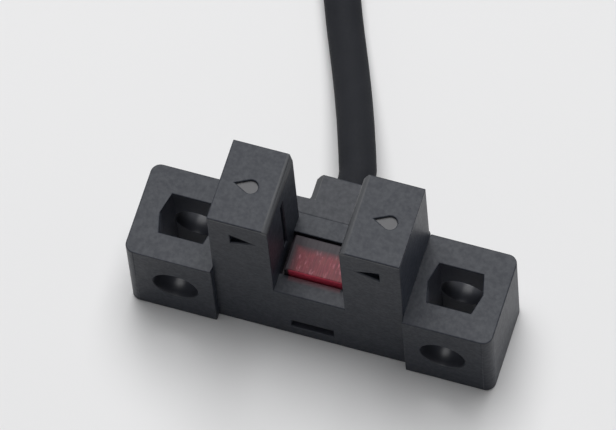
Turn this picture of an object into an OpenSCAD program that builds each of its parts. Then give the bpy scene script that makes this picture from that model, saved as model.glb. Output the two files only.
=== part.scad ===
// Slotted optical switch: a beam crosses the slot between two arms, and whatever
// passes through the slot breaks it. Two ears carry the mounting holes, a red lens
// in the slot's floor shows the state, and a four-core cable leaves the back.
// Millimetres. X runs along the ears, Y from front to back, Z up.
// The origin is the centre of the underside of the switch without its cable.

/* [Housing] */
// Length over both ears
overall_l = 26; // [25:0.5:32]
// Depth of the ears, front to back
ear_d = 6.9; // [6.4:0.1:9]
// Height of the ears
ear_h = 7.7; // [7:0.1:10]
// Radius of the outer corners of the ears
ear_corner_r = 0.7; // [0.2:0.1:1]
// How far the front of the body lies behind the front of the ears
body_setback = 0.5; // [0.1:0.1:1]
// Depth of the body and the arms, front to back
body_d = 6.1; // [5.8:0.1:8]
// Width of each arm
arm_w = 4.25; // [4:0.05:5]
// Height of the tops of the arms
arm_h = 15.4; // [14.6:0.1:20]
// Thickness of the moulded walls
wall = 0.85; // [0.7:0.05:1]
// Radius of the slot's top edges
slot_edge_r = 0.4; // [0.1:0.05:0.5]
// Chamfer on the slot's back corners
slot_chamfer = 0.3; // [0.1:0.05:0.5]

/* [Sensing slot] */
// Width of the slot between the arms
slot_w = 5; // [4.5:0.1:6]
// Height of the floor of the slot
slot_floor_z = 6.3; // [6:0.1:7]
// How far the light beam lies below the tops of the arms
beam_drop = 2.4; // [2.3:0.1:3]
// Width of the slit that the beam passes through
slit_w = 0.5; // [0.3:0.1:1]
// Length of the slit, downwards from its top
slit_l = 6.3; // [4:0.1:6.4]
// How far the top of the slit lies above the beam
slit_rise = 0.8; // [0.5:0.1:1]
// Depth of the slit that stays open in front of its window
slit_recess = 0.25; // [0.1:0.05:0.4]

/* [Mounting holes] */
// Distance between the two mounting holes
hole_pitch = 19; // [18.6:0.1:20.5]
// Diameter of the mounting holes
hole_d = 3.2; // [2.8:0.1:3.6]
// Height of the mounting holes above the underside
hole_z = 3.85; // [3.2:0.05:4.4]
// Width of the upright holes along their flat sides
pocket_w = 3.1; // [2.6:0.1:3.3]
// Width of the upright holes from point to point
pocket_tip_w = 3.84; // [3.4:0.02:4.2]
// Depth of the upright holes, front to back
pocket_d = 3; // [2.6:0.1:3.6]

/* [Marks] */
// Depth of the marks on top of the arms
top_mark_depth = 0.2; // [0.1:0.05:0.4]
// Radius of the round end of the marks on top of the arms
top_mark_r = 0.5; // [0.3:0.05:0.7]
// Length of the pointed end of the marks on top of the arms
top_mark_point = 1.1; // [0.8:0.05:1.4]
// How far the marks on top lie outside the middle of the arms
top_mark_shift = 0.25; // [0:0.05:0.4]
// Depth of the beam marks on the front of the arms
front_mark_depth = 0.35; // [0.1:0.05:0.4]
// Length of the beam marks on the front of the arms
front_mark_l = 1.65; // [1:0.05:2]
// Height of the beam marks on the front of the arms
front_mark_h = 1.15; // [0.6:0.05:1.4]

/* [Indicator lens] */
// Width of the lens across the slot
lens_w = 4.4; // [3.6:0.1:4.4]
// Length of the lens, front to back
lens_l = 2.7; // [2:0.1:3]
// How far the lens stands above the floor of the slot
lens_rise = 0.75; // [0.2:0.05:1]
// Distance from the front of the body to the lens
lens_setback = 1.45; // [1.2:0.05:1.6]
// Gap left open behind the lens
lens_back_gap = 0.5; // [0.2:0.1:0.6]
// Thickness of the flange that holds the lens from below
lens_flange_t = 0.7; // [0.4:0.1:0.9]
// How far the flange reaches past the opening at the front and back
lens_flange_lip = 0.4; // [0.2:0.1:0.5]

/* [Base] */
// Thickness of the base plate
base_t = 1; // [0.8:0.1:1.2]
// Thickness of the rear wall
rear_t = 1.2; // [0.8:0.1:2]
// How far the rear wall stays inside the width of the body
rear_inset = 0.25; // [0:0.05:1]
// Width of the cable boss
boss_w = 4.4; // [4.2:0.1:6]
// How far the cable boss stands behind the rear wall
boss_l = 2; // [1.6:0.1:4]
// Chamfer along the top edges of the cable boss
boss_chamfer = 0.4; // [0.1:0.05:0.5]
// Radius of the upright corners of the rear wall and the cable boss
rear_corner_r = 0.4; // [0.1:0.05:0.6]
// Width of the latch window in the front of the body
latch_w = 3.1; // [2:0.1:4]
// Height of the latch window
latch_h = 1; // [0.8:0.1:1]
// Height of the underside of the latch window
latch_z = 1.1; // [1.1:0.05:1.3]
// How far the latch hook reaches into its window
latch_reach = 0.45; // [0.2:0.05:0.6]
// Clearance between the base and the housing
fit_gap = 0.1; // [0.05:0.01:0.15]

/* [Circuit board] */
// Thickness of the circuit board
board_t = 0.8; // [0.6:0.1:1]
// Height of the posts that the board stands on
post_h = 1.05; // [1.05:0.05:1.1]
// Diameter of the posts
post_d = 0.9; // [0.6:0.1:1.2]
// Clearance round the edge of the board
board_gap = 0.2; // [0.1:0.05:0.3]
// Diameter of the holes for the leads
lead_hole_d = 0.62; // [0.56:0.02:0.7]

/* [Emitter and receiver] */
// Thickness of the windows behind the slits
window_t = 0.5; // [0.3:0.05:0.6]
// Width of the windows
window_w = 2.6; // [1.6:0.1:3]
// Width of the emitter and receiver packages
package_w = 3; // [2.4:0.1:3.4]
// Height of the packages
package_h = 2.6; // [2:0.1:2.6]
// Radius of the lens on each package
dome_r = 0.8; // [0.5:0.05:0.9]
// How far the lens stands out of its package
dome_rise = 0.45; // [0.3:0.05:0.45]
// Thickness of the leads
lead_t = 0.35; // [0.25:0.05:0.38]
// Distance between the outer leads
lead_pitch = 2.54; // [1.8:0.02:2.6]

/* [Cable] */
// Diameter of the cable
cable_d = 2.6; // [2.4:0.1:2.6]
// Height of the cable where it leaves the boss
cable_z = 3.7; // [3.7:0.05:3.8]
// Diameter of each insulated core
core_d = 0.6; // [0.5:0.05:0.6]
// Clearance round the cable in the boss
cable_gap = 0.05; // [0.02:0.01:0.1]
// Thickness of the wall behind the cable clamp
clamp_wall = 0.8; // [0.6:0.1:1]
// Length of the cable clamp
clamp_l = 1; // [0.6:0.1:1.2]
// Thickness of the cable clamp
clamp_t = 0.4; // [0.2:0.05:0.42]
// Radius of the coil at the middle of its turns
coil_mid_r = 15; // [13:0.1:15.6]
// Turns of the coil side by side
coil_wide = 4; // [3:1:5]
// Layers of the coil
coil_layers = 3; // [2:1:4]
// Width of the tie round the coil
tie_w = 2.5; // [2:0.1:4]
// Thickness of the tie
tie_t = 0.6; // [0.3:0.1:1]
// Length of the bared cores at the far end of the cable
strip_l = 12; // [6:0.5:16]
// Length of the tinned tips
tip_l = 2.5; // [1:0.1:4]

/* [Hidden] */
$fn = 48;

// A sliver by which cuts run past the faces they open
eps = 0.01;

// Places along X
arm_in = slot_w / 2;
arm_out = arm_in + arm_w;
end_x = overall_l / 2;
cavity_x = arm_out - wall;
arm_cavity_in = arm_in + wall;
arm_mid = (arm_in + arm_out) / 2;

// Places along Y, from the front of the ears
body_front = body_setback;
body_back = body_front + body_d;
beam_y = body_front + body_d / 2;
cavity_front = body_front + wall;
arm_cavity_back = body_back - wall;
rear_back = body_back + rear_t;
total_d = rear_back + boss_l;
lens_front = body_front + lens_setback;
lens_back = lens_front + lens_l;
opening_back = lens_back + lens_back_gap;

// Places along Z
floor_under = slot_floor_z - wall;
arm_cavity_top = arm_h - wall;
beam_z = arm_h - beam_drop;
slit_top = beam_z + slit_rise;
board_z = base_t + post_h;
board_top = board_z + board_t;

// The lens, its flange and its feet on the board
lens_side_gap = 0.05;
lens_gap_front = 0.05;
lens_foot = 0.7;
lens_flange_w = 2 * (arm_cavity_in - lens_side_gap);
lens_flange_front = lens_front - lens_gap_front - lens_flange_lip;
lens_flange_back = opening_back + lens_flange_lip;

// Packages and their leads
package_in = arm_cavity_in + window_t + dome_rise + fit_gap / 2;
package_out = cavity_x - fit_gap / 2;
lead_x = (package_in + package_out) / 2;
package_bottom = beam_z - package_h / 2;
lead_tail = 0.6;
solder_r = 0.5;
solder_top_r = 0.3;
solder_h = 0.4;
emitter_offsets = [-lead_pitch / 2, lead_pitch / 2];
receiver_offsets = [-lead_pitch / 2, 0, lead_pitch / 2];

// The board's posts
post_x = arm_in + wall / 2;
front_post_inset = 1.2;
back_post_inset = 1;
post_front = cavity_front + front_post_inset;
post_back = body_back - back_post_inset;

// Moulded packages on the board: body, and the bent leads on their long sides
chip_size = [1.25, 2, 0.9];
chip_standoff = 0.1;
chip_lead_reach = 0.4;
chip_lead_w = 0.22;
chip_lead_t = 0.12;
chip_lead_pitch = 0.65;
chip_x = 2;
chip_row = 0.2;
one_lead = [0];
two_leads = [-chip_lead_pitch, chip_lead_pitch];
three_leads = [-chip_lead_pitch, 0, chip_lead_pitch];

// Chip parts on the board: size, and the metal caps on their ends
led_size = [1.6, 0.8, 0.6];
led_base_h = 0.25;
led_cap = 0.25;
resistor_size = [1, 0.5, 0.35];
resistor_cap = 0.22;
capacitor_size = [0.8, 1.2, 0.6];
capacitor_cap = 0.25;
cap_step = 0.03;
led_y = (lens_front + lens_back) / 2;
chip_y = led_y + chip_row;
resistor_pitch = 1.1;
resistor_row = 1.2;
resistor_x = [for (i = [0:3]) (i - 1.5) * resistor_pitch];
resistor_y = led_y - resistor_row;
capacitor_inset = 0.55;
capacitor_x = arm_in + wall + capacitor_inset;

// Cores between the end of the jacket and the board: brown, black, pink and blue
core_offset = 0.45;
core_stub = 0.2;
jacket_setback = 1;
jacket_end = body_back + jacket_setback;
pad_pitch = 1.3;
pad_inset = 1.2;
pad_y = body_back - pad_inset;
pad_l = 0.8;
pad_r = 0.42;
core_lift = 0.05;
core_z = board_top + core_d / 2 + core_lift;
clamp_back = total_d - clamp_wall;
chamber_r = cable_d / 2 + clamp_t + cable_gap;

// Route of the cable, from the end of its jacket in the boss to the coil
cable_sides = 8;
cable_route = [
    [0, jacket_end - total_d / 2, cable_z],
    [0, total_d / 2, cable_z],
    [0, 5.4, cable_z], [-0.05, 6.6, 3.6], [-0.42, 7.8, 3.5], [-0.92, 9.2, 3.3],
    [-1.43, 10.6, 3], [-1.97, 12, 2.6], [-2.61, 13.6, 2.2], [-3.28, 15.2, 1.8],
    [-3.97, 16.8, 1.5], [-4.66, 18.4, 1.3], [-5.32, 20, 1.3], [-6.04, 21.8, 1.3],
    [-6.75, 23.6, 1.3], [-7.54, 25.6, 1.3], [-8.33, 27.6, 1.3], [-9.18, 29.8, 1.3],
    [-10.02, 32.2, 1.3], [-10.75, 34.8, 1.3], [-11.28, 37.6, 1.3], [-11.5, 40.6, 1.3],
    [-11.5, 44, 1.3]
];

// The coil, wound clockwise from the end of the route
coil_lead_in = 10;
coil_entry = cable_route[len(cable_route) - 1];
coil_half_w = coil_wide * cable_d / 2;
coil_outer_r = coil_mid_r + coil_half_w;
coil_inner_r = coil_mid_r - coil_half_w;
coil_h = coil_layers * cable_d;
coil_centre = [coil_entry[0] + coil_outer_r - cable_d / 2, coil_entry[1] + coil_lead_in];
coil_fn = 72;
tail_start = 144;
tail_turn = 120;
tail_overlap = 0.2;
tail_end = tail_start - tail_turn;
tie_angle = 270;
tie_head = [4, 3, 1.8];
tie_cut_margin = 1;
end_fan = 1.5;
end_steps = 6;
strand_d = 0.6 * core_d;

function unit(v) = v / norm(v);
function ease(t) = t * t * (3 - 2 * t);
function heading(route, i) =
    unit(route[min(i + 1, len(route) - 1)] - route[max(i - 1, 0)]);
function ring(route, i, r) =
    let (ahead = heading(route, i), side = unit(cross(ahead, [0, 0, 1])), up = cross(side, ahead))
    [for (k = [0:cable_sides - 1])
        let (a = 360 * (k + 0.5) / cable_sides)
        route[i] + r * (cos(a) * side + sin(a) * up)];

// A round tube swept along a route
module tube(route, d) {
    n = cable_sides;
    last = len(route) - 1;
    points = [for (i = [0:last]) each ring(route, i, d / 2)];
    start_cap = [[for (k = [n - 1:-1:0]) k]];
    end_cap = [[for (k = [0:n - 1]) last * n + k]];
    sides = [for (i = [0:last - 1], k = [0:n - 1])
        let (a = i * n + k, b = i * n + (k + 1) % n)
        each [[a, b, b + n], [a, b + n, a + n]]];
    polyhedron(points, concat(start_cap, sides, end_cap), convexity = 10);
}

// What follows is drawn from the front of the ears and moved to the origin
module placed() {
    translate([0, -total_d / 2, 0]) children();
}

// The same shape on both sides of the slot
module both_sides() {
    for (side = [0, 1]) mirror([side, 0, 0]) children();
}

// A box between two corners
module block(low, high) {
    translate(low) cube(high - low);
}

// An ear's plan, with round outer corners and a root inside the arm
module ear_plan() {
    r = ear_corner_r;
    translate([arm_out, 0]) square([end_x - r - arm_out, ear_d]);
    translate([arm_out, r]) square([end_x - arm_out, ear_d - 2 * r]);
    for (y = [r, ear_d - r]) translate([end_x - r, y]) circle(r);
    translate([arm_mid, body_front]) square([arm_out - arm_mid + eps, min(ear_d, body_back) - body_front]);
}

// An arm's plan, with its back corner on the slot cut off
module arm_plan() {
    c = slot_chamfer;
    polygon([
        [arm_in, body_front], [arm_out, body_front], [arm_out, body_back],
        [arm_in + c, body_back], [arm_in, body_back - c]
    ]);
}

// The upright hole through an ear: flat front and back, pointed sides
module pocket_plan() {
    y = pocket_d / 2;
    polygon([
        [-pocket_tip_w / 2, 0], [-pocket_w / 2, -y], [pocket_w / 2, -y],
        [pocket_tip_w / 2, 0], [pocket_w / 2, y], [-pocket_w / 2, y]
    ]);
}

// The mark on top of an arm: a drop that points along -X
module drop_plan() {
    lean = acos(top_mark_r / top_mark_point);
    touch = top_mark_r * [-cos(lean), sin(lean)];
    circle(top_mark_r);
    polygon([[-top_mark_point, 0], [touch[0], -touch[1]], [touch[0], touch[1]]]);
}

// The mark on the front of an arm: a wedge that points at the slot
module beam_mark_plan() {
    polygon([[-front_mark_l / 2, 0], [front_mark_l / 2, -front_mark_h / 2],
        [front_mark_l / 2, front_mark_h / 2]]);
}

module housing_outside() {
    block([-arm_out, body_front, 0], [arm_out, body_back, slot_floor_z]);
    both_sides() {
        linear_extrude(arm_h) arm_plan();
        linear_extrude(ear_h) ear_plan();
    }
}

module housing_cavity() {
    block([-cavity_x, cavity_front, -eps], [cavity_x, body_back + eps, floor_under]);
    both_sides()
        block([arm_cavity_in, cavity_front, -eps], [cavity_x, arm_cavity_back, arm_cavity_top]);
}

// The slits, the lens opening in the slot's floor and the latch window
module housing_windows() {
    block([-arm_in, lens_front - lens_gap_front, floor_under - eps],
        [arm_in, opening_back, slot_floor_z + eps]);
    block([-latch_w / 2, body_front - eps, latch_z],
        [latch_w / 2, cavity_front + eps, latch_z + latch_h]);
    both_sides()
        block([arm_in - eps, beam_y - slit_w / 2, slit_top - slit_l],
            [arm_cavity_in + eps, beam_y + slit_w / 2, slit_top]);
}

module ear_holes() {
    for (x = [-1, 1] * hole_pitch / 2) {
        translate([x, -eps, hole_z]) rotate([-90, 0, 0]) cylinder(d = hole_d, h = ear_d + 2 * eps);
        translate([x, ear_d / 2, -eps]) linear_extrude(ear_h + 2 * eps) pocket_plan();
    }
}

module housing_marks() {
    shift = (top_mark_point - top_mark_r) / 2;
    for (x = [-1, 1] * (arm_mid + top_mark_shift))
        translate([x + shift, beam_y, arm_h - top_mark_depth])
            linear_extrude(top_mark_depth + eps) drop_plan();
    both_sides()
        translate([arm_mid - front_mark_l / 8, body_front + front_mark_depth, beam_z])
            rotate([90, 0, 0]) linear_extrude(front_mark_depth + eps) beam_mark_plan();
}

// What the round top edges of the slot leave of their square corners
module slot_top_edges() {
    r = slot_edge_r;
    both_sides()
        translate([arm_in, body_back + eps, arm_h]) rotate([90, 0, 0])
            linear_extrude(body_d + 2 * eps) difference() {
                translate([-eps, -r]) square(r + eps);
                translate([r, -r]) circle(r);
            }
}

module housing() {
    color("#2b2b2e") placed() difference() {
        housing_outside();
        housing_cavity();
        housing_windows();
        ear_holes();
        housing_marks();
        slot_top_edges();
    }
}

// The rear wall and the cable boss in plan: round outer corners, hollow inner ones
module rear_plan() {
    r = rear_corner_r;
    x = arm_out - rear_inset;
    translate([-x, body_back]) square([2 * x, rear_t - r]);
    translate([r - x, body_back]) square([2 * x - 2 * r, rear_t]);
    for (side = [-1, 1]) translate([side * (x - r), rear_back - r]) circle(r);
}

module boss_plan() {
    r = rear_corner_r;
    x = boss_w / 2;
    translate([-x, body_back]) square([boss_w, rear_t + boss_l - r]);
    translate([r - x, body_back]) square([boss_w - 2 * r, rear_t + boss_l]);
    for (side = [-1, 1]) translate([side * (x - r), total_d - r]) circle(r);
}

// The web that rounds the corner between the rear wall and the boss
module boss_web_plan() {
    r = rear_corner_r;
    x = boss_w / 2;
    both_sides() difference() {
        translate([x - eps, rear_back - eps]) square(r + eps);
        translate([x + r, rear_back + r]) circle(r);
    }
}

// The cable boss in front view, with its top edges cut off
module boss_front() {
    x = boss_w / 2;
    c = boss_chamfer;
    polygon([[-x, 0], [x, 0], [x, slot_floor_z - c], [x - c, slot_floor_z],
        [c - x, slot_floor_z], [-x, slot_floor_z - c]]);
}

// The hook: a ramp above, and a flat underside that rests on the window's edge
module latch_hook() {
    back = cavity_front + fit_gap + post_d;
    width = latch_w - 2 * fit_gap;
    bottom = latch_z + fit_gap;
    top = latch_z + latch_h - 2 * fit_gap;
    translate([-width / 2, 0, 0]) rotate([90, 0, 90]) linear_extrude(width)
        polygon([[cavity_front + fit_gap, base_t - eps], [back, base_t - eps], [back, top],
            [cavity_front + fit_gap, top], [cavity_front - latch_reach, (bottom + top) / 2],
            [cavity_front - latch_reach, bottom], [cavity_front + fit_gap, bottom]]);
}

module board_posts() {
    for (x = [-post_x, post_x], y = [post_front, post_back])
        translate([x, y, base_t - eps]) cylinder(d = post_d, h = post_h + eps);
}

module base() {
    color("#242427") placed() difference() {
        union() {
            block([fit_gap - cavity_x, cavity_front + fit_gap, 0],
                [cavity_x - fit_gap, body_back + eps, base_t]);
            linear_extrude(slot_floor_z) rear_plan();
            linear_extrude(slot_floor_z - boss_chamfer) boss_web_plan();
            intersection() {
                linear_extrude(slot_floor_z) boss_plan();
                translate([0, total_d, 0]) rotate([90, 0, 0])
                    linear_extrude(boss_l + rear_t / 2) boss_front();
            }
            latch_hook();
            board_posts();
        }
        translate([0, body_back - eps, cable_z]) rotate([-90, 0, 0])
            cylinder(r = chamber_r, h = clamp_back - body_back + eps);
        translate([0, body_back, cable_z]) rotate([-90, 0, 0])
            cylinder(d = cable_d + 2 * cable_gap, h = total_d);
    }
}

module indicator_lens() {
    foot_x = lens_flange_w / 2 - lens_foot;
    color("#c8323c") placed() {
        block([-lens_w / 2, lens_front, floor_under - eps],
            [lens_w / 2, lens_back, slot_floor_z + lens_rise]);
        block([-lens_flange_w / 2, lens_flange_front, floor_under - lens_flange_t],
            [lens_flange_w / 2, lens_flange_back, floor_under]);
        both_sides() for (y = [lens_flange_front, lens_flange_back - lens_foot])
            block([foot_x, y, board_top],
                [foot_x + lens_foot, y + lens_foot, floor_under - lens_flange_t + eps]);
    }
}

// A window plate inside an arm, with a rib that fills the slit from behind
module window() {
    rib_w = slit_w - fit_gap / 2;
    color("#1c1420") placed() {
        block([arm_cavity_in, beam_y - window_w / 2, slit_top - slit_l - wall],
            [arm_cavity_in + window_t, beam_y + window_w / 2, arm_cavity_top]);
        block([arm_in + slit_recess, beam_y - rib_w / 2, slit_top - slit_l],
            [arm_cavity_in + eps, beam_y + rib_w / 2, slit_top]);
    }
}

module emitter_window() {
    mirror([1, 0, 0]) window();
}

module receiver_window() {
    window();
}

// A side-looking package with a lens that faces the slot
module package(tint) {
    sphere_shift = sqrt(dome_base_r() ^ 2 - dome_r ^ 2);
    color(tint) placed() {
        block([package_in, beam_y - package_w / 2, package_bottom],
            [package_out, beam_y + package_w / 2, package_bottom + package_h]);
        intersection() {
            translate([package_in + sphere_shift, beam_y, beam_z]) sphere(r = dome_base_r());
            block([package_in - dome_rise - eps, beam_y - dome_r, beam_z - dome_r],
                [package_in + eps, beam_y + dome_r, beam_z + dome_r]);
        }
    }
}

// Radius of the ball whose cap is dome_rise high on a circle of dome_r
function dome_base_r() = (dome_r ^ 2 + dome_rise ^ 2) / (2 * dome_rise);

module leads(offsets) {
    t = lead_t / 2;
    color("#c9c9cc") placed() for (dy = offsets)
        block([lead_x - t, beam_y + dy - t, board_z - lead_tail],
            [lead_x + t, beam_y + dy + t, package_bottom]);
}

module emitter() {
    mirror([1, 0, 0]) package("#5a6a8c");
}

module emitter_leads() {
    mirror([1, 0, 0]) leads(emitter_offsets);
}

module receiver() {
    package("#202024");
}

module receiver_leads() {
    leads(receiver_offsets);
}

// Drilled places for the leads, on the emitter's and the receiver's side
module at_leads() {
    for (dy = emitter_offsets) translate([-lead_x, beam_y + dy, 0]) children();
    for (dy = receiver_offsets) translate([lead_x, beam_y + dy, 0]) children();
}

module circuit_board() {
    edge_x = cavity_x - board_gap;
    color("#2e6b3c") placed() difference() {
        block([-edge_x, cavity_front + board_gap, board_z], [edge_x, body_back - board_gap, board_top]);
        at_leads() translate([0, 0, board_z - eps]) cylinder(d = lead_hole_d, h = board_t + 2 * eps);
    }
}

// A block that stands on the board, centred on the place it is moved to
module standing(size, lift = 0) {
    translate([-size[0] / 2, -size[1] / 2, lift]) cube(size);
}

// A chip part: its body is a step lower than the caps on its two ends along X
module chip_part(size, cap) {
    standing([size[0] - 2 * cap_step, size[1], size[2] - cap_step]);
    for (side = [-1, 1]) translate([side * (size[0] - cap) / 2, 0, 0]) standing([cap, size[1], size[2]]);
}

// A bent lead in profile: out of the side of a package, down, and along the board
module bent_lead() {
    t = chip_lead_t;
    out = chip_lead_reach / 2;
    top = (chip_size[2] + chip_standoff + t) / 2;
    translate([chip_size[0] / 2, chip_lead_w / 2, 0]) rotate([90, 0, 0]) linear_extrude(chip_lead_w)
        polygon([[-eps, top], [out, top], [out, t], [chip_lead_reach, t],
            [chip_lead_reach, 0], [out - t, 0], [out - t, top - t], [-eps, top - t]]);
}

// A moulded package with leads at these places along its left and right sides
module lead_package(left, right) {
    standing([chip_size[0], chip_size[1], chip_size[2] - chip_standoff], chip_standoff);
    for (dy = left) translate([0, dy, 0]) mirror([1, 0, 0]) bent_lead();
    for (dy = right) translate([0, dy, 0]) bent_lead();
}

module indicator_led() {
    color("#f0e6d2") placed() translate([0, led_y, board_top]) {
        standing([led_size[0], led_size[1], led_base_h]);
        standing([led_size[0] - 2 * led_cap, led_size[1], led_size[2]]);
    }
}

module amplifier_chip() {
    color("#1e1e20") placed() translate([-chip_x, chip_y, board_top])
        lead_package(three_leads, two_leads);
}

module output_transistor() {
    color("#232326") placed() translate([chip_x, chip_y, board_top])
        lead_package(one_lead, two_leads);
}

module chip_resistors() {
    color("#34343a") placed() for (x = resistor_x)
        translate([x, resistor_y, board_top])
            chip_part(resistor_size, resistor_cap);
}

// These lie across the board, with a cap at the front and at the back
module chip_capacitors() {
    turned = [capacitor_size[1], capacitor_size[0], capacitor_size[2]];
    color("#b49a78") placed() for (x = [-capacitor_x, capacitor_x])
        translate([x, led_y, board_top]) rotate([0, 0, 90])
            chip_part(turned, capacitor_cap);
}

// Fillets of solder round the tails of the leads
module lead_solder() {
    color("#d2d2d6") placed() at_leads() difference() {
        translate([0, 0, board_z - solder_h]) cylinder(r1 = solder_top_r, r2 = solder_r, h = solder_h);
        cube([lead_t, lead_t, 4 * board_z], center = true);
    }
}

// Beads of solder that end the cores on the board
module core_solder() {
    color("#d2d2d6") placed() for (i = [0:3]) intersection() {
        translate([pad_x(i), pad_y - pad_l, core_z]) rotate([-90, 0, 0]) cylinder(r = pad_r, h = pad_l);
        translate([pad_x(i) - pad_r, pad_y - pad_l, board_top]) cube([2 * pad_r, pad_l, 3 * pad_r]);
    }
}

function pad_x(i) = (i - 1.5) * pad_pitch;

// Where core i leaves the jacket, across and up from the cable's axis
function core_place(i) =
    core_offset * [i < 2 ? -1 : 1, (i == 0 || i == 3) ? -1 : 1];

// Core i runs straight at both ends, and swings across to its pad between them
function core_route(i) =
    let (stub = [0, core_stub, 0],
        start = [core_place(i)[0], jacket_end, cable_z + core_place(i)[1]],
        stop = [pad_x(i), pad_y, core_z],
        first = start - stub, span = stop + stub - first)
    concat([start],
        [for (s = [0:end_steps])
            let (t = s / end_steps, e = ease(t))
            first + [span[0] * e, span[1] * t, span[2] * e]],
        [stop]);

module core(i, tint) {
    color(tint) placed() tube(core_route(i), core_d);
}

module core_brown() {
    core(0, "#6b4226");
}

module core_black() {
    core(1, "#18181a");
}

module core_pink() {
    core(2, "#e6a0b4");
}

module core_blue() {
    core(3, "#2850a0");
}

// A crimped ring that stops the cable from being pulled out of the boss
module cable_clamp() {
    color("#b9b9bd") placed() translate([0, clamp_back - clamp_l, cable_z]) rotate([-90, 0, 0])
    difference() {
        cylinder(d = cable_d + 2 * clamp_t, h = clamp_l);
        translate([0, 0, -eps]) cylinder(d = cable_d, h = clamp_l + 2 * eps);
    }
}

module cable() {
    color("#2a2a2d") tube(cable_route, cable_d);
}

// The bundle of turns in section, with round corners of half a cable
module bundle_section() {
    r = cable_d / 2;
    translate([coil_inner_r + r, 0]) square([2 * coil_half_w - cable_d, coil_h]);
    translate([coil_inner_r, r]) square([2 * coil_half_w, coil_h - cable_d]);
    for (x = [coil_inner_r + r, coil_outer_r - r], z = [r, coil_h - r]) translate([x, z]) circle(r);
}

// The last stretch of cable, which lies on top of the coil
module tail_section() {
    r = cable_d / 2;
    translate([coil_mid_r, coil_h + r]) circle(r);
    translate([coil_mid_r - r, coil_h - tail_overlap]) square([cable_d, r + tail_overlap]);
}

// A box round the bundle where the tie passes, grown by a margin on each side
module tie_box(grow, width) {
    rotate([0, 0, tie_angle]) translate([coil_inner_r - grow, -width / 2, -grow])
        cube([2 * coil_half_w + 2 * grow, width, coil_h + 2 * grow]);
}

module cable_coil() {
    color("#2a2a2d") translate(coil_centre) difference() {
        union() {
            rotate_extrude($fn = coil_fn) bundle_section();
            rotate([0, 0, tail_end]) rotate_extrude(angle = tail_turn, $fn = coil_fn) tail_section();
            translate([-coil_outer_r, -coil_lead_in, 0]) cube([cable_d, coil_lead_in, cable_d]);
        }
        difference() {
            tie_box(tie_cut_margin, tie_w);
            tie_box(-tie_t, tie_w + tie_cut_margin);
        }
    }
}

module coil_tie() {
    color("#39393d") translate(coil_centre) {
        difference() {
            tie_box(0, tie_w);
            tie_box(-tie_t, tie_w + tie_cut_margin);
        }
        rotate([0, 0, tie_angle]) translate([coil_mid_r - tie_head[0] / 2, -tie_head[1] / 2, coil_h])
            cube(tie_head);
    }
}

// Bared core i: it leaves the jacket, sinks onto the coil and fans out along it
function end_point(i, t) =
    let (e = ease(t), a = end_angle(t),
        r = coil_mid_r + core_place(i)[0] * (1 - e) + (i - 1.5) * end_fan * e,
        z0 = coil_h + cable_d / 2 + core_place(i)[1], z1 = coil_h + core_d / 2)
    [coil_centre[0] + r * cos(a), coil_centre[1] + r * sin(a), z0 + (z1 - z0) * e];

function end_route(i) =
    let (first = end_point(i, 0))
    concat([first, first + core_stub * along(tail_end)],
        [for (s = [1:end_steps]) end_point(i, s / end_steps)],
        [end_point(i, 1) + core_stub * along(end_angle(1))]);

// The way that the coil winds at an angle, and the angle that a bared core has reached
function along(a) = [sin(a), -cos(a), 0];
function end_angle(t) = tail_end - t * strip_l / coil_mid_r * 180 / PI;

module core_end(i, tint) {
    color(tint) tube(end_route(i), core_d);
}

module end_brown() {
    core_end(0, "#6b4226");
}

module end_black() {
    core_end(1, "#18181a");
}

module end_pink() {
    core_end(2, "#e6a0b4");
}

module end_blue() {
    core_end(3, "#2850a0");
}

// Tinned strands that stand out of the bared cores
module end_tips() {
    color("#c9c9cc") for (i = [0:3]) {
        route = end_route(i);
        last = len(route) - 1;
        tube([route[last], route[last] + tip_l * heading(route, last)], strand_d);
    }
}

housing();
base();
indicator_lens();
emitter_window();
receiver_window();
emitter();
emitter_leads();
receiver();
receiver_leads();
circuit_board();
indicator_led();
amplifier_chip();
output_transistor();
chip_resistors();
chip_capacitors();
lead_solder();
core_solder();
core_brown();
core_black();
core_pink();
core_blue();
cable_clamp();
cable();
cable_coil();
coil_tie();
end_brown();
end_black();
end_pink();
end_blue();
end_tips();
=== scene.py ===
"""Looks of the slotted optical switch: finishes, cable, coil and studio, built round the CAD frame."""
import math

import bmesh
import bpy
from mathutils import Matrix, Vector


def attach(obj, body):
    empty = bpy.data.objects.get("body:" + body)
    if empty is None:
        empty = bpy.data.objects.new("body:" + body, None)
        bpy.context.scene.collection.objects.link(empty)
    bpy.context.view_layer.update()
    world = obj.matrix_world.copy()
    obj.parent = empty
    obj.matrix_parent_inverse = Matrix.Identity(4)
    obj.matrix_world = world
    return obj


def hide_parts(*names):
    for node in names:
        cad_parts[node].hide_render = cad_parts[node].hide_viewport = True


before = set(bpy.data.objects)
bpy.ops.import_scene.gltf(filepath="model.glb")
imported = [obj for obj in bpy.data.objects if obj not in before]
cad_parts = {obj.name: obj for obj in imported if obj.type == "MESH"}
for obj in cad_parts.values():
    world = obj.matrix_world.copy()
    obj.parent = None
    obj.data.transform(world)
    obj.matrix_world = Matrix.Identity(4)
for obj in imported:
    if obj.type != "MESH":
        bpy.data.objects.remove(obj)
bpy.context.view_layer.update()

# Lengths below are in millimetres, unless a comment says otherwise
MM = 0.001

# Camera, from a pinhole fitted to the edges in the photograph. Target and distance are in metres
CAMERA_AZIMUTH = math.radians(22.93)
CAMERA_ELEVATION = math.radians(64.60)
CAMERA_ROLL = math.radians(6.36)
CAMERA_TARGET = Vector((-2.0, 1.8, 6.0)) * MM
CAMERA_DISTANCE = 0.5446
CAMERA_CLIP = 0.01
CAMERA_LENS_MM = 467.5
CAMERA_SENSOR_MM = 36.0

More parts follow.
